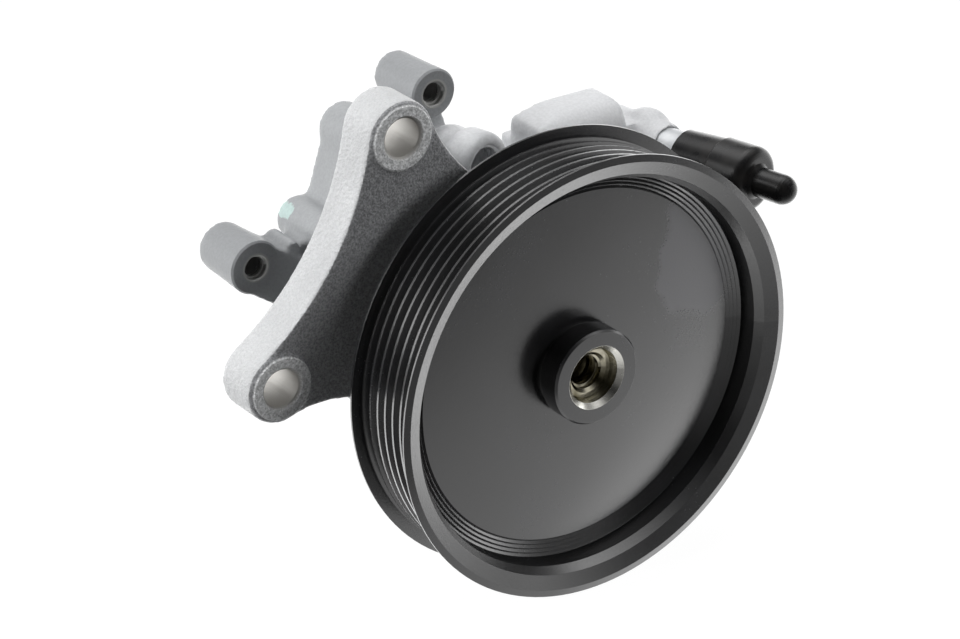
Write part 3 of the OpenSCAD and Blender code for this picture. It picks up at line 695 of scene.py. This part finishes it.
@dataclass
class ThreadTool:
    """Geometry nodes that wind a thread's ridge along a hole."""

    facets: int = 40
    sides: int = 3

    def tree(self) -> Tree:
        """Builds the tree: a helix that carries a three-sided ridge.

        Returns:
            The tree, with its sizes as named inputs.
        """
        tree = bpy.data.node_groups.new("thread_ridge", "GeometryNodeTree")
        for name in ("Radius", "Pitch", "Length", "Ridge"):
            tree.interface.new_socket(name, in_out="INPUT", socket_type="NodeSocketFloat")
        tree.interface.new_socket("Finish", in_out="INPUT", socket_type="NodeSocketMaterial")
        tree.interface.new_socket("Geometry", in_out="OUTPUT", socket_type="NodeSocketGeometry")
        given = add(tree, "NodeGroupInput").outputs
        turns = add(tree, "ShaderNodeMath", {0: given["Length"], 1: given["Pitch"]},
                    operation="DIVIDE")
        helix = add(tree, "GeometryNodeCurveSpiral", {
            "Resolution": self.facets, "Rotations": turns.outputs[0],
            "Start Radius": given["Radius"], "End Radius": given["Radius"],
            "Height": given["Length"]})
        ridge = add(tree, "GeometryNodeCurvePrimitiveCircle",
                    {"Resolution": self.sides, "Radius": given["Ridge"]})
        sweep = add(tree, "GeometryNodeCurveToMesh", {
            "Curve": helix.outputs[0], "Profile Curve": ridge.outputs[0], "Fill Caps": True})
        real = add(tree, "GeometryNodeRealizeInstances", {0: sweep.outputs[0]})
        done = add(tree, "GeometryNodeSetMaterial",
                   {"Geometry": real.outputs[0], "Material": given["Finish"]})
        add(tree, "NodeGroupOutput", {0: done.outputs[0]})
        return tree


@dataclass
class Thread:
    """A tapped hole's thread, in millimetres, whose ridge is a share of its pitch."""

    name: str
    body: Body
    slot: str
    radius: float
    pitch: float
    length: float
    place: Matrix
    ridge: float = 0.5
    crisp: float = 40.0

    def build(self, tree: Tree, finish: bpy.types.Material) -> Thing:
        """Winds the thread and puts it in its hole.

        Args:
            tree: The thread's nodes.
            finish: Its material.

        Returns:
            The finished piece.
        """
        thing = bpy.data.objects.new(self.name, bpy.data.meshes.new(self.name))
        bpy.context.scene.collection.objects.link(thing)
        wind = thing.modifiers.new("wind", "NODES")
        wind.node_group = tree
        sizes = {"Radius": self.radius, "Pitch": self.pitch, "Length": self.length,
                 "Ridge": self.pitch * self.ridge}
        for item in tree.interface.items_tree:
            if item.name in sizes:
                wind[item.identifier] = sizes[item.name] * MM
            elif item.name == "Finish":
                wind[item.identifier] = finish
        settle(thing)
        thing.data.transform(self.place)
        soften(thing, self.crisp)
        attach(thing, self.body.value)
        return thing


@dataclass
class CoilSpring:
    """A coil spring that a sliding piece presses together from its rest length, in millimetres."""

    node: str
    slot: str
    joint: str
    stroke: float
    slack: float = 0.1
    crisp: float = 60.0

    def build(self, finish: bpy.types.Material) -> Thing:
        """Copies the coil and hangs it on the housing, with a mesh of its own.

        Args:
            finish: Its material.

        Returns:
            The finished piece.
        """
        thing = as_object(solid_of(self.node), f"{self.node}_coil")
        soften(thing, self.crisp)
        thing.data.materials.append(finish)
        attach(thing, Body.HOUSING.value)
        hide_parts(self.node)
        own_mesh(thing)
        return thing


@dataclass
class Studio:
    """White surroundings, soft lamps, a pale floor and the camera, in millimetres.

    `level` is the light that comes from all round, and `bright` is the most that the mirrored room
    and table show. `roof` and `table` give shares of that: by the height of a direction, and by the
    way along the table.
    """

    floor_z: float = -66.0
    floor_half: float = 6000.0
    floor_white: float = 0.96
    eye: Place = (-557.64, -738.50, 463.55)
    look: Place = (0.52241, 0.73154, -0.43810)
    lens: float = 140.61
    sensor: float = 36.0
    level: float = 0.075
    bright: float = 3.0
    roof: tuple[Point, ...] = ((0.2, 1.0), (0.4, 0.15), (0.6, 0.15), (0.8, 1.0))
    table: tuple[Point, ...] = ((0.0, 0.06), (0.23, 0.22), (0.62, 0.33), (0.77, 0.4), (1.0, 1.0))
    table_ends: Point = (-125.0, 5.0)

    def bands(self, tree: Tree, along: Socket, stops: tuple[Point, ...]) -> Socket:
        """Adds nodes that turn a place along a line into a brightness.

        Args:
            tree: The tree of the world or the floor.
            along: The place, from 0 to 1.
            stops: Places and their shares of the greatest brightness, in order.

        Returns:
            The brightness.
        """
        node = add(tree, "ShaderNodeValToRGB", {0: along})
        ramp = node.color_ramp.elements
        for spot, share in stops[1:-1]:
            ramp.new(spot).color = (share, share, share, 1)
        for end, (spot, share) in ((ramp[0], stops[0]), (ramp[-1], stops[-1])):
            end.position, end.color = spot, (share, share, share, 1)
        scaled = add(tree, "ShaderNodeMath", {0: node.outputs[0], 1: self.bright},
                     operation="MULTIPLY")
        return scaled.outputs[0]

    def seen(self, tree: Tree, room: Socket, lit: float) -> Socket:
        """Adds nodes for how bright the surroundings look: white to the eye, part lit in mirrors.

        Args:
            tree: The tree of the world or the floor.
            room: Brightness that shiny pieces mirror.
            lit: Brightness for rays that light the object.

        Returns:
            The brightness.
        """
        path = add(tree, "ShaderNodeLightPath").outputs
        shine = add(tree, "ShaderNodeMix", {"Factor": path["Is Glossy Ray"], "A": lit, "B": room})
        clear = add(tree, "ShaderNodeMath",
                    {0: path["Is Camera Ray"], 1: path["Is Transmission Ray"]}, operation="MAXIMUM")
        whole = add(tree, "ShaderNodeMix",
                    {"Factor": clear.outputs[0], "A": shine.outputs["Result"], "B": 1.0})
        return whole.outputs["Result"]

    def surroundings(self) -> None:
        """Sets a world that looks white and lights the object softly."""
        world = bpy.data.worlds.new("studio")
        world.use_nodes = True
        tree = world.node_tree
        tree.nodes.clear()
        way = add(tree, "ShaderNodeTexCoord").outputs["Generated"]
        # The room is dark in front and to the left, and bright behind, to the right and overhead
        side = add(tree, "ShaderNodeVectorMath", {0: way, 1: (0.6, 0.8, 0.0)},
                   operation="DOT_PRODUCT")
        wall = add(tree, "ShaderNodeMapRange", {
            "Value": side.outputs["Value"], "From Min": -0.5, "From Max": 0.4, "To Min": 0.06})
        axes = add(tree, "ShaderNodeSeparateXYZ", {0: way})
        roof = self.bands(tree, axes.outputs["Z"], self.roof)
        room = add(tree, "ShaderNodeMath", {0: wall.outputs[0], 1: roof}, operation="MULTIPLY")
        sky = add(tree, "ShaderNodeBackground", {
            "Color": (1, 1, 1, 1), "Strength": self.seen(tree, room.outputs[0], self.level)})
        add(tree, "ShaderNodeOutputWorld", {"Surface": sky.outputs[0]})
        bpy.context.scene.world = world

    def floor(self) -> None:
        """Lays a pale floor that is white to the eye and still takes a faint shadow."""
        shape = bmesh.new()
        bmesh.ops.create_grid(shape, x_segments=1, y_segments=1, size=self.floor_half * MM)
        bmesh.ops.translate(shape, verts=shape.verts, vec=(0, 0, self.floor_z * MM))
        slab = as_object(shape, "floor")
        material, tree, shader = new_material("matt_white_paper")
        spot = add(tree, "ShaderNodeNewGeometry").outputs["Position"]
        # The table's mirror image is bright behind and to the right, and falls off in front
        run = add(tree, "ShaderNodeVectorMath", {0: spot, 1: (0.6, 1.0, 0.0)},
                  operation="DOT_PRODUCT")
        start, end = self.table_ends
        along = add(tree, "ShaderNodeMapRange", {
            "Value": run.outputs["Value"], "From Min": start * MM, "From Max": end * MM})
        table = self.bands(tree, along.outputs[0], self.table)
        grain = add(tree, "ShaderNodeTexNoise", {"Vector": spot, "Scale": per_mm(3)})
        tint = add(tree, "ShaderNodeMix", {
            "Factor": grain.outputs["Fac"], "A": linear("#5a5a5a"), "B": linear("#5c5c5c")},
            data_type="RGBA")
        glow = add(tree, "ShaderNodeMath",
                   {0: self.seen(tree, table, 0.0), 1: self.floor_white}, operation="MULTIPLY")
        tree.links.new(tint.outputs["Result"], shader.inputs["Base Color"])
        shader.inputs["Roughness"].default_value = 1.0
        shader.inputs["Specular IOR Level"].default_value = 0.0
        shader.inputs["Emission Color"].default_value = (1, 1, 1, 1)
        tree.links.new(glow.outputs[0], shader.inputs["Emission Strength"])
        slab.data.materials.append(material)

    def lamp(self, name: str, spot: Place, size: float, power: float,
             mirrored: bool = True) -> None:
        """Hangs a square soft box that faces the object.

        Args:
            name: Name of the lamp.
            spot: Its place in metres.
            size: Its side in metres.
            power: Its power in watts.
            mirrored: Whether shiny pieces show it.
        """
        data = bpy.data.lights.new(name, "AREA")
        data.size = size
        data.energy = power
        thing = bpy.data.objects.new(name, data)
        thing.location = spot
        thing.rotation_mode = "QUATERNION"
        thing.rotation_quaternion = (-Vector(spot)).to_track_quat("-Z", "Y")
        thing.visible_glossy = mirrored
        bpy.context.scene.collection.objects.link(thing)

    def camera(self) -> None:
        """Puts the camera where the picture was taken from."""
        data = bpy.data.cameras.new("camera")
        data.lens = self.lens
        data.sensor_width = self.sensor
        data.clip_start, data.clip_end = 0.05, 50
        thing = bpy.data.objects.new("camera", data)
        thing.location = Vector(self.eye) * MM
        thing.rotation_mode = "QUATERNION"
        thing.rotation_quaternion = Vector(self.look).to_track_quat("-Z", "Y")
        bpy.context.scene.collection.objects.link(thing)
        bpy.context.scene.camera = thing

    def build(self) -> None:
        """Sets up the whole studio."""
        bpy.context.scene.view_settings.view_transform = "Standard"
        self.surroundings()
        self.floor()
        self.lamp("left_box", (-1.3, 0.35, 0.5), size=1.0, power=20)
        self.lamp("top_box", (0.1, 0.4, 1.3), size=1.0, power=11)
        self.lamp("front_box", (0.75, -1.05, 0.75), size=0.5, power=9, mirrored=False)
        self.camera()


@dataclass
class Pump:
    """The pump's castings, threads, valve spring and carried-over nodes, in millimetres.

    A face is a place along y, a hole, tap or ring is a radius, a lip is the break at a face's edge
    and a flare is the chamfer at a hole's mouth. A lead is how far in a thread starts.
    """

    ear_face: float = 18.98
    ear_hole: float = 5.5
    ear_flare: float = 0.95
    ear_ring: float = 9.2
    ear_lip: float = 0.3
    ear_pad: float = 3.0
    plate_back: float = 33.48
    boss_radii: Point = (7.2, 7.8)
    boss_face: float = 47.98
    boss_tap: float = 3.5
    boss_flare: float = 0.35
    boss_lip: float = 0.5
    boss_pad: float = 5.0
    boss_taper: float = 0.15
    boss_depth: float = 16.0
    boss_lead: float = 0.8
    port: Place = (-2.9, 34.68, 46.5)
    port_yaw: float = 13.2
    port_lead: float = 1.2
    shaft_thread_y: float = -7.4
    spool_stroke: float = 8.0

    @staticmethod
    def faced(face: float, radius: float, lip: float, pad: float,
              taper: float = 0.0) -> list[Point]:
        """Profile of a machined round face.

        Args:
            face: Its place along y.
            radius: Its radius.
            lip: Break at its edge.
            pad: Depth of metal behind it.
            taper: How much narrower the pad is at its back.

        Returns:
            The profile.
        """
        back = face + pad
        return [(0, face), (radius - lip, face), (radius, face + lip), (radius - taper, back),
                (0, back)]

    @staticmethod
    def drilled(face: float, radius: float, flare: float, end: float, clear: float = 3.0,
                proud: float = 0.05) -> list[Point]:
        """Profile of a drill and its chamfer.

        Args:
            face: Place along y of the face that is drilled.
            radius: Radius of the hole.
            flare: Width of the chamfer.
            end: Place along y where the hole ends.
            clear: How far in front of the face the tool starts.
            proud: How far in front of the face the chamfer starts.

        Returns:
            The profile.
        """
        mouth, front = radius + flare, face - clear
        return [(0, front), (mouth, front), (mouth, face - proud), (radius, face + flare - proud),
                (radius, end), (0, end)]

    def bracket(self) -> Casting:
        """The front bracket, with its two ear faces and bolt holes machined.

        Returns:
            The casting.
        """
        ring = self.faced(self.ear_face, self.ear_ring, self.ear_lip, self.ear_pad)
        hole = self.drilled(self.ear_face, self.ear_hole, self.ear_flare, self.plate_back + 2)
        ears = [at(*axis) for axis in (UPPER_EAR, LOWER_EAR)]
        return Casting("front_bracket", "blasted_aluminium", voxel=0.7,
                       faces=[(ring, ear) for ear in ears], holes=[(hole, ear) for ear in ears])

    def housing(self) -> Casting:
        """The rear casting, with its boss faces and tapped holes machined.

        Returns:
            The casting.
        """
        face = self.boss_face
        hole = self.drilled(face, self.boss_tap, self.boss_flare, face + self.boss_depth)
        fronts, holes = [], []
        for axis, radius in zip((TOP_BOSS, SIDE_BOSS), self.boss_radii):
            front = self.faced(face, radius, self.boss_lip, self.boss_pad, self.boss_taper)
            fronts.append((front, at(*axis)))
            holes.append((hole, at(*axis)))
        # A grid this wide keeps the casting under the export's limit of triangles
        return Casting("pump_housing", "cast_aluminium", voxel=0.86, faces=fronts, holes=holes)

    def threads(self) -> list[Thread]:
        """Threads of the tapped holes.

        Returns:
            The threads, each with its place.
        """
        # The tool winds along Z, and the holes run along Y
        turn = Matrix.Rotation(math.radians(-90), 4, "X")
        made = []
        for name, axis in (("top_boss_thread", TOP_BOSS), ("side_boss_thread", SIDE_BOSS)):
            made.append(Thread(
                name, Body.HOUSING, "cast_aluminium", radius=self.boss_tap + 0.1, pitch=1.25,
                length=14.0, place=at(*axis, self.boss_face + self.boss_lead) @ turn))
        yaw = Matrix.Rotation(math.radians(self.port_yaw), 4, "Z")
        mouth = Matrix.Translation(Vector(self.port) * MM) @ yaw @ turn
        made.append(Thread(
            "port_thread", Body.HOUSING, "cast_aluminium", radius=6.35, pitch=1.5, length=12.0,
            place=mouth @ Matrix.Translation((0, 0, self.port_lead * MM))))
        made.append(Thread(
            "shaft_end_thread", Body.SHAFT, "shaft_steel", radius=5.35, pitch=1.75, length=22.0,
            place=at(0, 0, self.shaft_thread_y) @ turn))
        return made

    def build(self) -> None:
        """Builds and dresses every piece, and reports each one."""
        finishes = {slot: finish.paint() for slot, finish in FINISHES.items()}
        for name, thing in frame["nodes"].items():
            slot = thing.data.materials[0].name
            thing.material_slots[0].material = finishes[slot]
            LOG.info("finished %s in %s", name, slot)
        for casting in (self.bracket(), self.housing()):
            made = casting.build(finishes[casting.slot])
            LOG.info("cast %s with %d faces", made.name, len(made.data.polygons))
        tree = ThreadTool().tree()
        for thread in self.threads():
            made = thread.build(tree, finishes[thread.slot])
            LOG.info("cut %s with %d faces", made.name, len(made.data.polygons))
        spring = CoilSpring("spool_spring", "spring_steel", "spool_slide", self.spool_stroke)
        LOG.info("wound %s", spring.build(finishes[spring.slot]).name)


def clear_startup() -> None:
    """Removes what a new file holds that isn't the frame."""
    kept = set(frame["nodes"].values()) | set(frame["bodies"].values())
    for thing in list(bpy.data.objects):
        if thing not in kept:
            bpy.data.objects.remove(thing)


def main() -> None:
    """Builds the pump and the studio, and notes the sizes."""
    logging.basicConfig(level=logging.INFO, format="%(name)s: %(message)s")
    clear_startup()
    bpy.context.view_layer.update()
    Pump().build()
    Studio().build()


if __name__ == "__main__":
    main()
